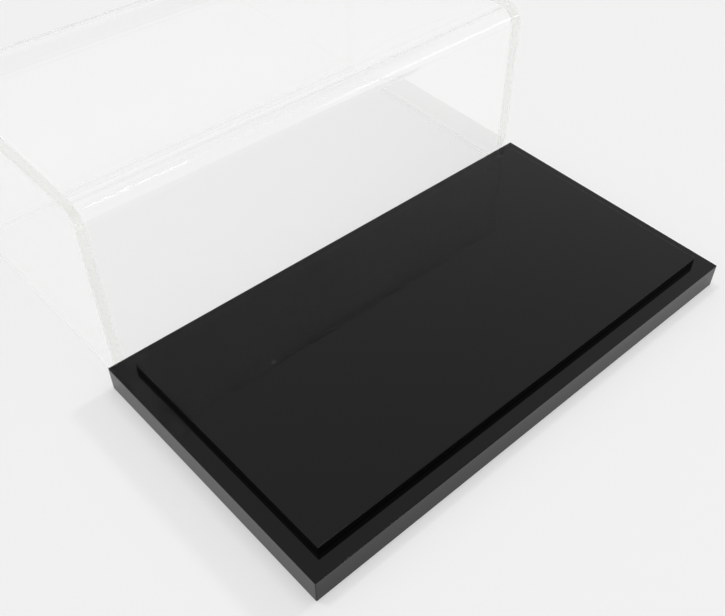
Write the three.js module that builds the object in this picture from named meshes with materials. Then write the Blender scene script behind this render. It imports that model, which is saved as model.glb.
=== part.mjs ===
// Display case for a scale model car: a black two-step base and a clear cover that lifts off.
// The base is a thick plate with a smaller, thinner plate bonded on top. The step between the two
// is a ledge that runs all round, and the cover stands on it with its walls round the upper plate.
// The cover is one clear sheet, bent twice along its length into front, top and back, and closed
// by a flat panel cemented over each end. It has no floor.
// As photographed, the cover is taken off and stands on the table close behind the base.
// Millimetres, +Z up, +X along the case. The origin is the middle of the base's underside.

import * as THREE from "three";

// Base
const baseLength = 300;
const baseWidth = 162;
const basePlateThickness = 15;
const raisedPlateThickness = 5;
const ledgeWidth = 10; // from the base plate's edge to the raised plate's edge
const bondThickness = 0.1; // film of adhesive between the two plates
const plateEdgeEase = 0.35; // polished edges of both plates
const plateCornerRadius = 0.6;

// Cover
const coverHeight = 109;
const sheetThickness = 5;
const innerBendRadius = 6;
const coverClearance = 1.5; // between the cover's walls and the raised plate, when it is closed
const cementThickness = 0.1; // joint between the bent sheet and each end panel
const panelEdgeEase = 0.25; // outer rim of an end panel

// Where the cover stands while the case is open
const standGap = 3; // from the base's back edge to the cover's front
const standOffset = 1.5; // to the right of the base's middle

// Fineness of the round stretches: a rounded corner or a bend has twice this many straight segments
const cornerFineness = 2;
const bendFineness = 16;
const easeSegments = 2; // straight segments across an eased edge

const raisedLength = baseLength - 2 * ledgeWidth;
const raisedWidth = baseWidth - 2 * ledgeWidth;
const coverLength = raisedLength + 2 * (coverClearance + sheetThickness);
const coverWidth = raisedWidth + 2 * (coverClearance + sheetThickness);
const sheetLength = coverLength - 2 * (sheetThickness + cementThickness);
const outerBendRadius = innerBendRadius + sheetThickness;

// Cross-sections of the cover are drawn looking along +X: across is +Y, and up is +Z.
const alongTheCase = new THREE.Matrix4().makeBasis(
  new THREE.Vector3(0, 1, 0),
  new THREE.Vector3(0, 0, 1),
  new THREE.Vector3(1, 0, 0),
);

const glossBlack = new THREE.MeshStandardMaterial({ color: 0x0b0c0c, roughness: 0.05, metalness: 0 });
const clearAcrylic = new THREE.MeshStandardMaterial({
  color: 0xeef2ee,
  roughness: 0.02,
  metalness: 0,
  transparent: true,
  opacity: 0.2,
});

// A rectangle about the origin with its four corners rounded.
function roundedRectangle(length, width, radius) {
  const right = length / 2 - radius;
  const top = width / 2 - radius;
  const outline = new THREE.Shape();
  outline.absarc(right, -top, radius, -Math.PI / 2, 0, false);
  outline.absarc(right, top, radius, 0, Math.PI / 2, false);
  outline.absarc(-right, top, radius, Math.PI / 2, Math.PI, false);
  outline.absarc(-right, -top, radius, Math.PI, (3 * Math.PI) / 2, false);
  return outline;
}

// A flat plate standing on z = 0, with rounded corners and the edges of both faces eased.
function easedPlate(length, width, thickness) {
  const plate = new THREE.ExtrudeGeometry(roundedRectangle(length, width, plateCornerRadius), {
    depth: thickness - 2 * plateEdgeEase,
    bevelThickness: plateEdgeEase,
    bevelSize: plateEdgeEase,
    bevelOffset: -plateEdgeEase,
    bevelSegments: easeSegments,
    curveSegments: cornerFineness,
  });
  return plate.translate(0, 0, plateEdgeEase);
}

// The bent sheet's cross-section: a wall up, round the bend, along the top and down again on the
// outside, then the same way back on the inside, one sheet thickness further in.
function bentSheetSection() {
  const outside = coverWidth / 2;
  const inside = outside - sheetThickness;
  const bendAcross = outside - outerBendRadius;
  const bendUp = coverHeight - outerBendRadius;
  const section = new THREE.Shape();
  section.moveTo(outside, 0);
  section.absarc(bendAcross, bendUp, outerBendRadius, 0, Math.PI / 2, false);
  section.absarc(-bendAcross, bendUp, outerBendRadius, Math.PI / 2, Math.PI, false);
  section.lineTo(-outside, 0);
  section.lineTo(-inside, 0);
  section.absarc(-bendAcross, bendUp, innerBendRadius, Math.PI, Math.PI / 2, true);
  section.absarc(bendAcross, bendUp, innerBendRadius, Math.PI / 2, 0, true);
  section.lineTo(inside, 0);
  section.closePath();
  return section;
}

function bentSheet() {
  const sheet = new THREE.ExtrudeGeometry(bentSheetSection(), {
    depth: sheetLength,
    bevelEnabled: false,
    curveSegments: bendFineness,
  });
  return sheet.translate(0, 0, -sheetLength / 2).applyMatrix4(alongTheCase);
}

// An end panel's outline, the same as the bent sheet's outside, drawn inwards by an inset and
// lifted to a height above the joint.
function endPanelOutline(inset, height) {
  const outside = coverWidth / 2 - inset;
  const bendAcross = coverWidth / 2 - outerBendRadius;
  const bendUp = coverHeight - outerBendRadius;
  const outline = new THREE.Shape();
  outline.moveTo(-outside, inset);
  outline.lineTo(outside, inset);
  outline.absarc(bendAcross, bendUp, outerBendRadius - inset, 0, Math.PI / 2, false);
  outline.absarc(-bendAcross, bendUp, outerBendRadius - inset, Math.PI / 2, Math.PI, false);
  const points = outline.getPoints(bendFineness);
  return points.map((point) => new THREE.Vector3(point.x, point.y, height));
}

// A closed solid through a stack of convex outlines with as many points each, flat at both ends.
function stackedOutlines(outlines) {
  const count = outlines[0].length;
  const last = (outlines.length - 1) * count;
  const faces = [];
  for (let first = 0; first < last; first += count) {
    for (let i = 0; i < count; i += 1) {
      const next = (i + 1) % count;
      faces.push(first + i, first + next, first + count + next);
      faces.push(first + i, first + count + next, first + count + i);
    }
  }
  for (let i = 1; i < count - 1; i += 1) {
    faces.push(0, i + 1, i);
    faces.push(last, last + i, last + i + 1);
  }
  const solid = new THREE.BufferGeometry().setFromPoints(outlines.flat());
  solid.setIndex(faces);
  solid.computeVertexNormals();
  return solid;
}

// A panel whose joint face lies at x = 0 and whose outer face, with its rim eased, looks along +X.
function endPanel() {
  const panel = stackedOutlines([
    endPanelOutline(0, 0),
    endPanelOutline(0, sheetThickness - panelEdgeEase),
    endPanelOutline(panelEdgeEase, sheetThickness),
  ]);
  return panel.applyMatrix4(alongTheCase);
}

function namedMesh(name, geometry, material) {
  const mesh = new THREE.Mesh(geometry, material);
  mesh.name = name;
  return mesh;
}

function makeBase() {
  const base = new THREE.Group();
  const lower = easedPlate(baseLength, baseWidth, basePlateThickness);
  const upper = easedPlate(raisedLength, raisedWidth, raisedPlateThickness);
  const raisedPlate = namedMesh("raised_plate", upper, glossBlack);
  raisedPlate.position.z = basePlateThickness + bondThickness;
  base.add(namedMesh("base_plate", lower, glossBlack), raisedPlate);
  return base;
}

function makeCover() {
  const cover = new THREE.Group();
  const joint = sheetLength / 2 + cementThickness;
  const rightEnd = namedMesh("cover_right_end", endPanel(), clearAcrylic);
  rightEnd.position.x = joint;
  const leftEnd = namedMesh("cover_left_end", endPanel(), clearAcrylic);
  leftEnd.rotation.z = Math.PI;
  leftEnd.position.x = -joint;
  cover.add(namedMesh("cover_sheet", bentSheet(), clearAcrylic), rightEnd, leftEnd);
  return cover;
}

const cover = makeCover();
cover.position.set(standOffset, baseWidth / 2 + standGap + coverWidth / 2, 0);

const displayCase = new THREE.Group();
displayCase.add(makeBase(), cover);

export default displayCase;
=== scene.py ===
"""Looks of a display case for a scale model car: a black two-step base and a clear cover.

Everything is acrylic. Both base plates are black sheet with polished edges. The cover is one clear
sheet with two heat bends and a clear panel cemented over each end. It is taken off, and stands
behind the base.
"""

import math

import bpy
import numpy as np
from bpy.props import (
    FloatProperty,
    FloatVectorProperty,
    IntProperty,
    PointerProperty,
    StringProperty,
)
from mathutils import Matrix, Vector


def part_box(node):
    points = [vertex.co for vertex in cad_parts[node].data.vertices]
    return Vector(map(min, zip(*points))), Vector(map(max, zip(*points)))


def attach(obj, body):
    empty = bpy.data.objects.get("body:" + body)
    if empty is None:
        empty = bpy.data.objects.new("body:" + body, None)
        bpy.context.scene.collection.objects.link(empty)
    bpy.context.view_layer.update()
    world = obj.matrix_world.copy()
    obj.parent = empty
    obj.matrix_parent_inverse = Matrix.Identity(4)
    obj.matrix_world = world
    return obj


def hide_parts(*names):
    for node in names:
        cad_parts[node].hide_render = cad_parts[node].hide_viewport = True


bl_info = {
    "name": "Model Car Display Case",
    "version": (1, 0, 0),
    "blender": (4, 5, 0),
    "location": "3D View > Sidebar > Display Case",
    "description": "Display case with a black two-step base and a clear bent cover, on a stage",
    "category": "Add Mesh",
}

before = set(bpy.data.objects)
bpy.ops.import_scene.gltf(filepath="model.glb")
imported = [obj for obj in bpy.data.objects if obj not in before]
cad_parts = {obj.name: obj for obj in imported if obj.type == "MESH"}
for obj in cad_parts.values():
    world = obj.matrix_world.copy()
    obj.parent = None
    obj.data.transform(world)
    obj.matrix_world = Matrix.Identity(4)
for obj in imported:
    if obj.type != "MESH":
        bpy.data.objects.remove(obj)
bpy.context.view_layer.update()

MM = 0.001

# The photograph's frame and the place of the optical axis in it, in pixels
IMAGE_WIDTH, IMAGE_HEIGHT = 725, 616
OPTICAL_AXIS_PIXEL = (425, 330)
SENSOR_WIDTH_MM = 36.0

EDGE_STEPS = 6  # segments round each polished edge, and round each upright corner of the base

# The cement between two panels is left out: their faces meet in its middle, but for a hair
# that keeps them apart.
CEMENT_FILM = 0.1 * MM
CEMENT_HAIR = 0.001 * MM

ACRYLIC_IOR = 1.49
STREAK_SQUEEZE = 0.22  # width of a wiping streak over its length

# Painted glow for light that runs on inside the clear sheet: past a few bounces its faces glow a
# pale even colour instead of passing the light on. The glow's share grows from the start bounce to
# the end bounce, up to the share set here, and after TRAPPED_BOUNCES it is all.
GLOW_START, GLOW_END = 3.0, 12.0
GLOW_SHARE = 0.3
TRAPPED_BOUNCES = 18
OTHER_BOUNCES = 16  # for what light does before and after that
CLEAR_PASSES = 100  # faces that light may pass straight through

# A dark opening in the studio's ceiling, which the cover's bends mirror as a thin dark line. It is
# dark within the first angle of its middle, and fades out by the second.
OPENING_DIRECTION = (0.477, 0.084, 0.875)
OPENING_DARK, OPENING_EDGE = math.radians(10.5), math.radians(13)
OPENING_LEVEL = 0.08

LAMP_DISTANCE = 2.0  # metres from the object to the far lamps and the strips


# Properties

class BaseSettings(bpy.types.PropertyGroup):
    edge_radius: FloatProperty(
        name="Edge Radius",
        description="Rounding of the polished edges",
        default=0.35 * MM,
        min=0.05 * MM,
        unit="LENGTH",
    )
    corner_radius: FloatProperty(
        name="Corner Radius",
        description="Rounding of the upright corners",
        default=0.6 * MM,
        min=0.05 * MM,
        unit="LENGTH",
    )
    black: StringProperty(
        name="Black",
        description="Body colour of the black acrylic, as sRGB hex",
        default="#060707",
    )
    polish: FloatProperty(
        name="Polish",
        description="Roughness of the polished faces",
        default=0.01,
        min=0.0,
        max=1.0,
        subtype="FACTOR",
    )
    mirror: FloatProperty(
        name="Mirror",
        description="How strongly the faces mirror, where 0.5 is what the refractive index gives",
        default=0.22,
        min=0.0,
        max=1.0,
        subtype="FACTOR",
    )
    streak_width: FloatProperty(
        name="Streak Width",
        description="Width of the faint streaks that wiping leaves in the polish",
        default=18.0 * MM,
        min=1.0 * MM,
        unit="LENGTH",
    )


class CoverSettings(bpy.types.PropertyGroup):
    inner_bend_radius: FloatProperty(
        name="Inner Bend Radius",
        description="Radius of the two heat bends on the inside",
        default=6.0 * MM,
        min=1.0 * MM,
        unit="LENGTH",
    )
    edge_radius: FloatProperty(
        name="Edge Radius",
        description="Rounding of the flame-polished edges",
        default=0.15 * MM,
        min=0.05 * MM,
        unit="LENGTH",
    )
    bend_steps: IntProperty(
        name="Bend Steps",
        description="Segments round each bend",
        default=48,
        min=4,
        max=200,
    )
    tint: StringProperty(
        name="Tint",
        description="Colour that the clear sheet takes seen edge on, as sRGB hex",
        default="#E3E5D8",
    )
    # Colour of the painted glow: the even colour that the clear sheet's faces glow where light has
    # run round in them for long
    painted_glow_colour: StringProperty(
        name="Painted Glow",
        description="Colour of light that has run round in the sheet for long, as sRGB hex",
        default="#ECEDEB",
    )
    absorption: FloatProperty(
        name="Absorption",
        description="How strongly the tint builds up per metre of sheet that light passes through",
        default=1.1,
        min=0.0,
    )
    mirror: FloatProperty(
        name="Mirror",
        description="How strongly the faces mirror, where 1 is what the refractive index gives",
        default=0.6,
        min=0.0,
        max=1.0,
        subtype="FACTOR",
    )
    clearness: FloatProperty(
        name="Clearness",
        description="Share of the lamps' light that each face lets through",
        default=0.99,
        min=0.0,
        max=1.0,
        subtype="FACTOR",
    )


class StageSettings(bpy.types.PropertyGroup):
    floor: StringProperty(
        name="Floor",
        description="Colour of the pale table, as sRGB hex",
        default="#F7F7F6",
    )
    plain_share: FloatProperty(
        name="Plain Share",
        description="Share of plain white in how the table is seen, which keeps its shadows pale",
        default=0.4,
        min=0.0,
        max=1.0,
        subtype="FACTOR",
    )
    plain_white: FloatProperty(
        name="Plain White",
        description="Level of that white, which is 1 where it is seen through the cover",
        default=0.94,
        min=0.0,
        max=1.0,
        subtype="FACTOR",
    )
    surroundings: FloatProperty(
        name="Surroundings",
        description="Level of the studio's light on the object",
        default=0.42,
        min=0.0,
    )
    seen_surroundings: FloatProperty(
        name="Seen Surroundings",
        description="Level at which the camera, mirrors and clear sheet see the studio",
        default=0.88,
        min=0.0,
        max=1.0,
        subtype="FACTOR",
    )
    lens: FloatProperty(
        name="Lens",
        description="Focal length of the camera",
        default=46.62,
        unit="CAMERA",
    )
    azimuth: FloatProperty(
        name="Azimuth",
        description="Direction that the camera looks from, about the upright axis",
        default=math.radians(-46.79),
        subtype="ANGLE",
    )
    elevation: FloatProperty(
        name="Elevation",
        description="Height of the camera above the table as an angle",
        default=math.radians(45.89),
        subtype="ANGLE",
    )
    roll: FloatProperty(
        name="Roll",
        description="Tilt of the camera about its view",
        default=math.radians(3.68),
        subtype="ANGLE",
    )
    distance: FloatProperty(
        name="Distance",
        description="From the camera to the point that it looks at",
        default=518.3 * MM,
        unit="LENGTH",
    )
    aim: FloatVectorProperty(
        name="Aim",
        description="Point on the table that the camera looks at",
        default=(-2.23 * MM, 4.44 * MM, 0.0),
        subtype="TRANSLATION",
        size=3,
    )


# Surfaces

def arc(start, end, steps):
    """Angles from start to end, both included, in equal steps."""
    return np.linspace(start, end, steps + 1)


def rounded_outline(low, high, radii, steps):
    """Corner centres, outward directions and radii round a rectangle, from its lower right corner.

    It runs anticlockwise. A point of the outline is centre + radius * (cos a, sin a), where a runs
    through a quarter turn at each corner, and the straight sides are what joins one quarter to the
    next.
    """
    centres, directions, sizes = [], [], []
    corners = [
        (high[0], low[1], -1, 1),
        (high[0], high[1], -1, -1),
        (low[0], high[1], 1, -1),
        (low[0], low[1], 1, 1),
    ]
    for quarter, ((x, y, inward_x, inward_y), radius) in enumerate(zip(corners, radii)):
        angles = arc(math.pi / 2 * (quarter - 1), math.pi / 2 * quarter, steps)
        centres.append(np.tile([x + inward_x * radius, y + inward_y * radius], (len(angles), 1)))
        directions.append(np.column_stack([np.cos(angles), np.sin(angles)]))
        sizes.append(np.full(len(angles), radius))
    return np.concatenate(centres), np.concatenate(directions), np.concatenate(sizes)


def edge_profile(low, high, low_radius, high_radius, steps):
    """Inset, height and tilt of a plate's edge, from its low face to its high face.

    A quarter circle of low_radius leads from the low face to the wall and one of high_radius from
    the wall to the high face, and a radius of zero leaves that edge sharp. The tilt is the angle of
    the surface's normal above the wall's.
    """
    lower = arc(-math.pi / 2, 0, steps) if low_radius else np.zeros(1)
    upper = arc(0, math.pi / 2, steps) if high_radius else np.zeros(1)
    inset = np.concatenate([low_radius * (1 - np.cos(lower)), high_radius * (1 - np.cos(upper))])
    height = np.concatenate([
        low + low_radius * (1 + np.sin(lower)),
        high - high_radius * (1 - np.sin(upper)),
    ])
    return inset, height, np.concatenate([lower, upper])


def swept_rings(outline, profile, axes):
    """Points and normals of a plate: one ring for each step of the profile of its edge.

    P(u, v) = centre(u) + (radius(u) - inset(v)) * direction(u) + height(v) * up, and the normal is
    direction(u) * cos(tilt(v)) + up * sin(tilt(v)). axes holds the directions of the outline's two
    coordinates and of up.
    """
    centres, directions, radii = outline
    inset, height, tilt = profile
    across, along, up = (np.array(axis, float) for axis in axes)
    flat = centres[None] + (radii[None, :, None] - inset[:, None, None]) * directions[None]
    points = flat[..., :1] * across + flat[..., 1:] * along + height[:, None, None] * up
    outward = directions[:, :1] * across + directions[:, 1:] * along
    normals = np.cos(tilt)[:, None, None] * outward[None] + np.sin(tilt)[:, None, None] * up
    return points, normals


def bent_path(low, high, radius, steps):
    """The outside of the bent sheet across the case: up the back, over, and down the front.

    The bends are quarter circles, P = centre + radius * (0, cos a, sin a), with a from 0 at the
    back wall to half a turn at the front wall. Returned are the centre and the outward direction of
    each step, so that the same path serves every depth in the sheet. Along the walls the centre
    moves and the direction stays.
    """
    angles = np.concatenate([
        [0],
        arc(0, math.pi / 2, steps),
        arc(math.pi / 2, math.pi, steps),
        [math.pi],
    ])
    back, front = high.y - radius, low.y + radius
    y = np.where(np.arange(len(angles)) < len(angles) // 2, back, front)
    z = np.full(len(angles), high.z - radius)
    z[[0, -1]] = low.z
    zero = np.zeros(len(angles))
    return np.column_stack([zero, y, z]), np.column_stack([zero, np.cos(angles), np.sin(angles)])


def smooth_corners(normals):
    """Normals at the four corners of each quad of a surface that is smooth all over."""
    ahead = np.roll(normals, -1, axis=1)
    return np.stack([normals[:-1], ahead[:-1], ahead[1:], normals[1:]], axis=2)


def flat_corners(normals):
    """Normals at the four corners of each quad, where each side of a ring is flat across it."""
    return np.stack([normals[:-1], normals[:-1], normals[1:], normals[1:]], axis=2)


def closed_mesh(name, points, normals, material, **marks):
    """A closed mesh from rings of points: quads between the rings and a flat face over each end.

    normals are exact, for the four corners of each quad, and point outwards. Where the rings' order
    makes the faces point inwards, all of them are turned over. Each mark becomes a face attribute:
    one value for each quad, and one for each of the two end faces.
    """
    rings, count = points.shape[:2]
    index = np.arange(rings * count).reshape(rings, count)
    ahead = np.roll(index, -1, axis=1)
    corners = np.stack([index[:-1], ahead[:-1], ahead[1:], index[1:]], axis=-1).reshape(-1, 4)
    flat, normals = points.reshape(-1, 3), normals.reshape(-1, 4, 3)
    a, b, c, d = (flat[corners[:, k]] for k in range(4))
    ends = [index[0, ::-1], index[-1]]
    if (np.cross(c - a, d - b) * normals.sum(axis=1)).sum() < 0:
        corners, normals = corners[:, ::-1], normals[:, ::-1]
        ends = [end[::-1] for end in ends]
    mesh = bpy.data.meshes.new(name)
    mesh.from_pydata(flat, [], corners.tolist() + [end.tolist() for end in ends])
    mesh.materials.append(material)
    mesh.update()
    caps = np.repeat([face.normal for face in mesh.polygons[-2:]], count, axis=0)
    mesh.polygons.foreach_set("use_smooth", np.ones(len(mesh.polygons), bool))
    mesh.normals_split_custom_set(np.concatenate([normals.reshape(-1, 3), caps]))
    for mark, values in marks.items():
        attribute = mesh.attributes.new(mark, "FLOAT", "FACE")
        attribute.data.foreach_set("value", np.array(values, np.float32))
    piece = bpy.data.objects.new(name, mesh)
    bpy.context.collection.objects.link(piece)
    return piece


# Materials

def linear(hex_colour):
    """Scene-linear RGBA of an sRGB hex colour."""
    channels = np.array([int(hex_colour[i:i + 2], 16) for i in (1, 3, 5)]) / 255
    low, high = channels / 12.92, ((channels + 0.055) / 1.055) ** 2.4
    return (*np.where(channels <= 0.04045, low, high), 1.0)


def grey(level):
    """RGBA of a plain grey of that scene-linear level."""
    return (level, level, level, 1.0)


def node(tree, kind, sockets=(), **settings):
    """Adds a node. Each of sockets is (name or index, value), and a socket as value is linked."""
    made = tree.nodes.new(kind)
    for name, value in settings.items():
        setattr(made, name, value)
    for key, value in sockets:
        if isinstance(value, bpy.types.NodeSocket):
            tree.links.new(value, made.inputs[key])
        else:
            made.inputs[key].default_value = value
    return made


def empty_material(name):
    """A material whose nodes are still to be added."""
    material = bpy.data.materials.new(name)
    material.use_nodes = True
    material.node_tree.nodes.clear()
    return material


def black_acrylic(settings):
    """Cast black acrylic, buffed: a deep black body under a mirror-smooth surface.

    The eye sees almost no body colour, only what the surface mirrors. It mirrors less than its
    refractive index gives, as in the photograph, whose darks are deepened. Wiping with a cloth
    leaves faint streaks in the polish, several centimetres long.
    """
    material = empty_material("Cast black acrylic, buffed")
    tree = material.node_tree
    coords = node(tree, "ShaderNodeTexCoord")
    streaks = node(
        tree,
        "ShaderNodeMapping",
        [("Vector", coords.outputs["Object"]), ("Scale", (1.0, STREAK_SQUEEZE, 1.0))],
    )
    wiping = node(
        tree,
        "ShaderNodeTexNoise",
        [
            ("Vector", streaks.outputs["Vector"]),
            ("Scale", 1 / settings.streak_width),
            ("Detail", 4.0),
        ],
    )
    rough = node(
        tree,
        "ShaderNodeMapRange",
        [
            ("Value", wiping.outputs["Fac"]),
            ("From Min", 0.3),
            ("From Max", 0.75),
            ("To Min", settings.polish * 0.6),
            ("To Max", settings.polish * 1.6),
        ],
    )
    shader = node(
        tree,
        "ShaderNodeBsdfPrincipled",
        [
            ("Base Color", linear(settings.black)),
            ("Roughness", rough.outputs["Result"]),
            ("IOR", ACRYLIC_IOR),
            ("Specular IOR Level", settings.mirror),
        ],
    )
    node(tree, "ShaderNodeOutputMaterial", [("Surface", shader.outputs["BSDF"])])
    return material


def clear_acrylic(settings):
    """Clear cast acrylic: glass-clear through its faces, and faintly green seen edge on.

    Where the cement has joined two panels there is no air left between them, so light passes
    straight on. The faces marked as cemented do that. Lamps and the studio shine straight through
    the cover, with a small loss at each face. Where light has bounced on inside a sheet for long,
    the
    faces glow a pale even colour instead: a painted glow that stands in for light coming out of its
    edges and bends. The faces mirror less than the refractive index gives, as in the photograph,
    whose lights are evened out.
    """
    material = empty_material("Clear cast acrylic")
    tree = material.node_tree
    glass = node(
        tree,
        "ShaderNodeBsdfPrincipled",
        [
            ("Base Color", grey(1.0)),
            ("Roughness", 0.0),
            ("IOR", ACRYLIC_IOR),
            ("Transmission Weight", 1.0),
            ("Specular Tint", grey(settings.mirror)),
        ],
    )
    lit_through = node(tree, "ShaderNodeBsdfTransparent", [("Color", grey(settings.clearness))])
    no_air = node(tree, "ShaderNodeBsdfTransparent", [("Color", grey(1.0))])
    path = node(tree, "ShaderNodeLightPath")
    light = node(
        tree,
        "ShaderNodeMath",
        [(0, path.outputs["Is Shadow Ray"]), (1, path.outputs["Is Diffuse Ray"])],
        operation="MAXIMUM",
    )
    lit = node(
        tree,
        "ShaderNodeMixShader",
        [(0, light.outputs["Value"]), (1, glass.outputs["BSDF"]), (2, lit_through.outputs["BSDF"])],
    )
    cemented = node(tree, "ShaderNodeAttribute", attribute_name="cemented")
    joined = node(
        tree,
        "ShaderNodeMixShader",
        [(0, cemented.outputs["Fac"]), (1, lit.outputs["Shader"]), (2, no_air.outputs["BSDF"])],
    )
    trapped = node(
        tree,
        "ShaderNodeMath",
        [(0, path.outputs["Ray Depth"]), (1, TRAPPED_BOUNCES)],
        operation="GREATER_THAN",
    )
    # Share of painted glow, which grows with the bounces
    glow_ramp = node(
        tree,
        "ShaderNodeMapRange",
        [
            ("Value", path.outputs["Ray Depth"]),
            ("From Min", GLOW_START),
            ("From Max", GLOW_END),
            ("To Min", 0.0),
            ("To Max", GLOW_SHARE),
        ],
    )
    painted_glow_share = node(
        tree,
        "ShaderNodeMath",
        [(0, glow_ramp.outputs["Result"]), (1, trapped.outputs["Value"])],
        operation="MAXIMUM",
    )
    # Painted glow: a pale even emission that stands in for light leaking out of the sheet's edges
    # and bends
    painted_glow = node(
        tree,
        "ShaderNodeEmission",
        [("Color", linear(settings.painted_glow_colour)), ("Strength", 1.0)],
    )
    surface = node(
        tree,
        "ShaderNodeMixShader",
        [
            (0, painted_glow_share.outputs["Value"]),
            (1, joined.outputs["Shader"]),
            (2, painted_glow.outputs["Emission"]),
        ],
    )
    inside = node(
        tree,
        "ShaderNodeVolumeAbsorption",
        [("Color", linear(settings.tint)), ("Density", settings.absorption)],
    )
    node(
        tree,
        "ShaderNodeOutputMaterial",
        [("Surface", surface.outputs["Shader"]), ("Volume", inside.outputs["Volume"])],
    )
    return material


def seen_rays(tree, path):
    """1 for rays that carry a view: from the camera, from a mirror or through clear sheet."""
    seen = path.outputs["Is Camera Ray"]
    for kind in ("Is Glossy Ray", "Is Transmission Ray"):
        either = node(
            tree,
            "ShaderNodeMath",
            [(0, seen), (1, path.outputs[kind])],
            operation="MAXIMUM",
        )
        seen = either.outputs["Value"]
    return seen


def table_paint(settings):
    """Matt painted table top: even and pale, with soft shadows.

    The camera, a mirror or clear sheet sees it partly as plain white, which keeps the shadows pale.
    """
    material = empty_material("Matt pale table")
    tree = material.node_tree
    shader = node(
        tree,
        "ShaderNodeBsdfPrincipled",
        [("Base Color", linear(settings.floor)), ("Roughness", 0.7), ("Specular IOR Level", 0.2)],
    )
    path = node(tree, "ShaderNodeLightPath")
    seen = seen_rays(tree, path)
    share = node(
        tree,
        "ShaderNodeMath",
        [(0, seen), (1, settings.plain_share)],
        operation="MULTIPLY",
    )
    level = node(
        tree,
        "ShaderNodeMath",
        [
            (0, path.outputs["Is Transmission Ray"]),
            (1, 1 - settings.plain_white),
            (2, settings.plain_white),
        ],
        operation="MULTIPLY_ADD",
    )
    plain = node(tree, "ShaderNodeEmission", [("Strength", level.outputs["Value"])])
    surface = node(
        tree,
        "ShaderNodeMixShader",
        [(0, share.outputs["Value"]), (1, shader.outputs["BSDF"]), (2, plain.outputs["Emission"])],
    )
    node(tree, "ShaderNodeOutputMaterial", [("Surface", surface.outputs["Shader"])])
    return material


# Operators

class DISPLAYCASE_OT_base(bpy.types.Operator):
    """Make the base plate and the raised plate"""

    bl_idname = "displaycase.base"
    bl_label = "Base"

    def execute(self, context):
        settings = context.scene.case_base
        material = black_acrylic(settings)
        for part in ("base_plate", "raised_plate"):
            low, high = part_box(part)
            outline = rounded_outline(low.xy, high.xy, [settings.corner_radius] * 4, EDGE_STEPS)
            edge = settings.edge_radius
            profile = edge_profile(low.z, high.z, edge, edge, EDGE_STEPS)
            axes = ((1, 0, 0), (0, 1, 0), (0, 0, 1))
            points, normals = swept_rings(outline, profile, axes)
            piece = closed_mesh(part + "_polished", points, smooth_corners(normals), material)
            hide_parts(part)
            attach(piece, "base")
        return {"FINISHED"}


class DISPLAYCASE_OT_cover(bpy.types.Operator):
    """Make the bent sheet and the two end panels of the cover"""

    bl_idname = "displaycase.cover"
    bl_label = "Cover"

    def execute(self, context):
        settings = context.scene.case_cover
        material = clear_acrylic(settings)
        low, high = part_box("cover_right_end")
        wall = high.x - low.x
        outer_radius = settings.inner_bend_radius + wall
        self.make_sheet(settings, material, wall, outer_radius)
        for part, side in (("cover_left_end", -1), ("cover_right_end", 1)):
            self.make_end(settings, material, part, side, outer_radius)
        return {"FINISHED"}

    def make_sheet(self, settings, material, wall, outer_radius):
        """The sheet's section carried along the bent path.

        P(s, v) = x(v) along the case + centre(s) + (outer radius - depth(v)) * direction(s), where
        (x, depth) runs round the section's four corners. The ends of the path are the lower rims.
        """
        low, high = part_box("cover_sheet")
        centres, directions = bent_path(low, high, outer_radius, settings.bend_steps)
        reach = CEMENT_FILM / 2 - CEMENT_HAIR
        x = np.array([high.x + reach, high.x + reach, low.x - reach, low.x - reach])
        depth = np.array([0, wall, wall, 0])
        along, out = np.array([1.0, 0.0, 0.0]), directions[:, None]
        outwards = (outer_radius - depth)[None, :, None] * out
        points = centres[:, None] + outwards + x[None, :, None] * along
        facing = (along, -out, -along, out)
        sides = np.concatenate([np.broadcast_to(side, out.shape) for side in facing], axis=1)
        jointed = np.tile([1, 0, 1, 0], len(points) - 1)
        piece = closed_mesh(
            "cover_bent_sheet",
            points,
            flat_corners(sides),
            material,
            cemented=np.append(jointed, [0, 0]),
        )
        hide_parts("cover_sheet")
        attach(piece, "cover")

    def make_end(self, settings, material, part, side, outer_radius):
        """A flat panel with the bends' outline. side is 1 on the right and -1 on the left.

        The part of its joint face that the sheet's end covers is the band between the panel's
        outline and the same outline inset by the wall. That band is cemented.
        """
        low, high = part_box(part)
        edge, wall = settings.edge_radius, high.x - low.x
        steps = settings.bend_steps
        outline = rounded_outline(
            (low.y, low.z),
            (high.y, high.z),
            [edge, outer_radius, outer_radius, edge],
            steps,
        )
        joint, outer = sorted((side * low.x, side * high.x))
        joint -= CEMENT_FILM / 2 - CEMENT_HAIR
        axes = ((0, 1, 0), (0, 0, 1), (side, 0, 0))
        profile = edge_profile(joint, outer, 0, edge, EDGE_STEPS)
        points, normals = swept_rings(outline, profile, axes)
        inner_radius = outer_radius - wall
        inner = rounded_outline(
            (low.y + wall, low.z + edge),
            (high.y - wall, high.z - wall),
            [edge, inner_radius, inner_radius, edge],
            steps,
        )
        open_edge, _ = swept_rings(inner, (np.zeros(1), np.full(1, joint), np.zeros(1)), axes)
        joint_face = np.broadcast_to((-side, 0, 0), (1, points.shape[1], 4, 3))
        jointed = np.zeros((len(points), points.shape[1]))
        jointed[0, :-1] = 1
        piece = closed_mesh(
            part + "_panel",
            np.concatenate([open_edge, points]),
            np.concatenate([joint_face, smooth_corners(normals)]),
            material,
            cemented=np.append(jointed, [0, 0]),
        )
        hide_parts(part)
        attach(piece, "cover")


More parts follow.
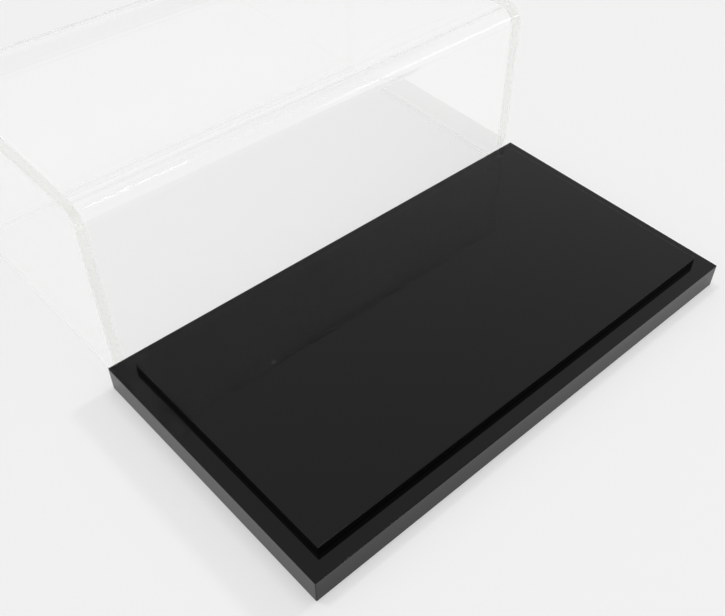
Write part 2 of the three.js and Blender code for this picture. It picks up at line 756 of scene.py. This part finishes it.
class DISPLAYCASE_OT_stage(bpy.types.Operator):
    """Make the table, the studio light and the camera"""

    bl_idname = "displaycase.stage"
    bl_label = "Stage"

    def execute(self, context):
        settings = context.scene.case_stage
        self.make_floor(settings)
        self.make_world(context.scene, settings)
        self.make_lamps()
        self.make_camera(context.scene, settings)
        self.let_light_run(context.scene)
        context.scene.view_settings.view_transform = "Standard"
        return {"FINISHED"}

    def let_light_run(self, scene):
        """Light in a clear sheet bounces off its faces many times before it leaves."""
        bounces = TRAPPED_BOUNCES + OTHER_BOUNCES
        scene.cycles.max_bounces = bounces
        scene.cycles.glossy_bounces = bounces
        scene.cycles.transmission_bounces = bounces
        scene.cycles.transparent_max_bounces = CLEAR_PASSES

    def make_floor(self, settings):
        """A wide table top, just under the base so that their faces don't coincide."""
        half, low = 6.0, -0.05 * MM
        corners = [(-half, -half, low), (half, -half, low), (half, half, low), (-half, half, low)]
        mesh = bpy.data.meshes.new("table_top")
        mesh.from_pydata(corners, [], [(0, 1, 2, 3)])
        mesh.materials.append(table_paint(settings))
        floor = bpy.data.objects.new("table_top", mesh)
        bpy.context.collection.objects.link(floor)

    def make_world(self, scene, settings):
        """The studio: an even light, seen as near white with one dark opening in its ceiling."""
        world = bpy.data.worlds.new("Studio")
        world.use_nodes = True
        scene.world = world
        tree = world.node_tree
        tree.nodes.clear()
        level = grey(settings.surroundings)
        light = node(tree, "ShaderNodeBackground", [("Color", level), ("Strength", 1.0)])
        toward = node(tree, "ShaderNodeTexCoord")
        nearness = node(
            tree,
            "ShaderNodeVectorMath",
            [(0, toward.outputs["Generated"]), (1, OPENING_DIRECTION)],
            operation="DOT_PRODUCT",
        )
        opening = node(
            tree,
            "ShaderNodeMapRange",
            [
                ("Value", nearness.outputs["Value"]),
                ("From Min", math.cos(OPENING_EDGE)),
                ("From Max", math.cos(OPENING_DARK)),
                ("To Min", settings.seen_surroundings),
                ("To Max", OPENING_LEVEL),
            ],
            interpolation_type="SMOOTHSTEP",
        )
        seen = node(
            tree,
            "ShaderNodeBackground",
            [("Color", grey(1.0)), ("Strength", opening.outputs["Result"])],
        )
        path = node(tree, "ShaderNodeLightPath")
        mixed = node(
            tree,
            "ShaderNodeMixShader",
            [
                (0, seen_rays(tree, path)),
                (1, light.outputs["Background"]),
                (2, seen.outputs["Background"]),
            ],
        )
        node(tree, "ShaderNodeOutputWorld", [("Surface", mixed.outputs["Shader"])])

    def make_lamps(self):
        """Three lamps that light the table, and two strips that show only in the acrylic.

        Directions lead from the object to the lamp. A share is the level to which the lamp alone
        lights a white table, and with the studio's own light they come to 0.96.
        """
        self.far_lamp("lamp_right", direction=(0.857, 0.0, 0.515), width=7.0, share=0.11)
        self.far_lamp("lamp_behind", direction=(-0.15, 0.33, 0.93), width=7.6, share=0.10)
        self.panel("ceiling", direction=(0.1, 0.0, 0.99), distance=3.0, side=2.2, share=0.33)
        self.strip("window", start=(-56, 21), end=(-36, 19), width=0.16, radiance=4.2)
        self.strip("tube", start=(-65.4, 58.5), end=(-55.8, 51.7), width=0.035, radiance=40.0)

    def far_lamp(self, name, direction, width, share):
        """A lamp so far off that it lights the table evenly. width is its angle in degrees."""
        toward = Vector(direction).normalized()
        data = bpy.data.lights.new(name, "SUN")
        data.angle = math.radians(width)
        data.energy = math.pi * share / toward.z
        self.hang(name, data, toward, LAMP_DISTANCE)

    def panel(self, name, direction, distance, side, share):
        """A wide square panel that hangs over the table."""
        toward = Vector(direction).normalized()
        data = bpy.data.lights.new(name, "AREA")
        data.shape = "RECTANGLE"
        data.size = data.size_y = side
        data.energy = math.pi ** 2 * distance ** 2 / toward.z * share
        self.hang(name, data, toward, distance)

    def strip(self, name, start, end, width, radiance):
        """A bright strip between two directions in degrees: azimuth from +X, and height.

        The acrylic mirrors it. The camera doesn't see it, and it lights nothing matt. A radiance
        of 1 is plain white.
        """
        ends = []
        for azimuth, height in (start, end):
            a, h = math.radians(azimuth), math.radians(height)
            toward = Vector((math.cos(h) * math.cos(a), math.cos(h) * math.sin(a), math.sin(h)))
            ends.append(LAMP_DISTANCE * toward)
        middle, along = (ends[0] + ends[1]) / 2, ends[1] - ends[0]
        data = bpy.data.lights.new(name, "AREA")
        data.shape = "RECTANGLE"
        data.size, data.size_y = along.length, width
        data.energy = math.pi * along.length * width * radiance
        x = along.normalized()
        z = (middle - middle.dot(x) * x).normalized()
        lamp = bpy.data.objects.new(name, data)
        turn = Matrix((x, z.cross(x), z)).transposed()
        lamp.matrix_world = Matrix.Translation(middle) @ turn.to_4x4()
        lamp.visible_diffuse = lamp.visible_camera = False
        bpy.context.collection.objects.link(lamp)

    def hang(self, name, data, toward, distance):
        """Hangs a lamp facing the object, for matt surfaces: the acrylic doesn't mirror it."""
        lamp = bpy.data.objects.new(name, data)
        lamp.location = toward * distance
        lamp.rotation_euler = toward.to_track_quat("Z", "Y").to_euler()
        lamp.visible_glossy = lamp.visible_transmission = False
        bpy.context.collection.objects.link(lamp)

    def make_camera(self, scene, settings):
        """The camera where the photograph's was, shifted so that its axis meets the same pixel."""
        a, e = settings.azimuth, settings.elevation
        back = Vector((math.sin(a) * math.cos(e), -math.cos(a) * math.cos(e), math.sin(e)))
        level_right = Vector((0, 0, 1)).cross(back).normalized()
        level_up = back.cross(level_right)
        right = math.cos(settings.roll) * level_right + math.sin(settings.roll) * level_up
        up = back.cross(right)
        data = bpy.data.cameras.new("Camera")
        data.sensor_width = SENSOR_WIDTH_MM
        data.lens = settings.lens
        data.shift_x = (IMAGE_WIDTH / 2 - OPTICAL_AXIS_PIXEL[0]) / IMAGE_WIDTH
        data.shift_y = (OPTICAL_AXIS_PIXEL[1] - IMAGE_HEIGHT / 2) / IMAGE_WIDTH
        data.clip_start, data.clip_end = 0.01, 50.0
        camera = bpy.data.objects.new("Camera", data)
        turn = Matrix((right, up, back)).transposed()
        place = Vector(settings.aim) + back * settings.distance
        camera.matrix_world = Matrix.Translation(place) @ turn.to_4x4()
        bpy.context.collection.objects.link(camera)
        scene.camera = camera


class DISPLAYCASE_PT_panel(bpy.types.Panel):
    bl_idname = "DISPLAYCASE_PT_panel"
    bl_label = "Display Case"
    bl_space_type = "VIEW_3D"
    bl_region_type = "UI"
    bl_category = "Display Case"

    def draw(self, context):
        for label, group, operator in (
            ("Base", context.scene.case_base, DISPLAYCASE_OT_base),
            ("Cover", context.scene.case_cover, DISPLAYCASE_OT_cover),
            ("Stage", context.scene.case_stage, DISPLAYCASE_OT_stage),
        ):
            box = self.layout.box()
            box.label(text=label)
            for name in group.__annotations__:
                box.prop(group, name)
            box.operator(operator.bl_idname)


CLASSES = (
    BaseSettings,
    CoverSettings,
    StageSettings,
    DISPLAYCASE_OT_base,
    DISPLAYCASE_OT_cover,
    DISPLAYCASE_OT_stage,
    DISPLAYCASE_PT_panel,
)


def register():
    for cls in CLASSES:
        bpy.utils.register_class(cls)
    bpy.types.Scene.case_base = PointerProperty(type=BaseSettings)
    bpy.types.Scene.case_cover = PointerProperty(type=CoverSettings)
    bpy.types.Scene.case_stage = PointerProperty(type=StageSettings)


def unregister():
    del bpy.types.Scene.case_stage
    del bpy.types.Scene.case_cover
    del bpy.types.Scene.case_base
    for cls in reversed(CLASSES):
        bpy.utils.unregister_class(cls)


def main():
    register()
    bpy.ops.displaycase.base()
    bpy.ops.displaycase.cover()
    bpy.ops.displaycase.stage()


if __name__ == "__main__":
    main()
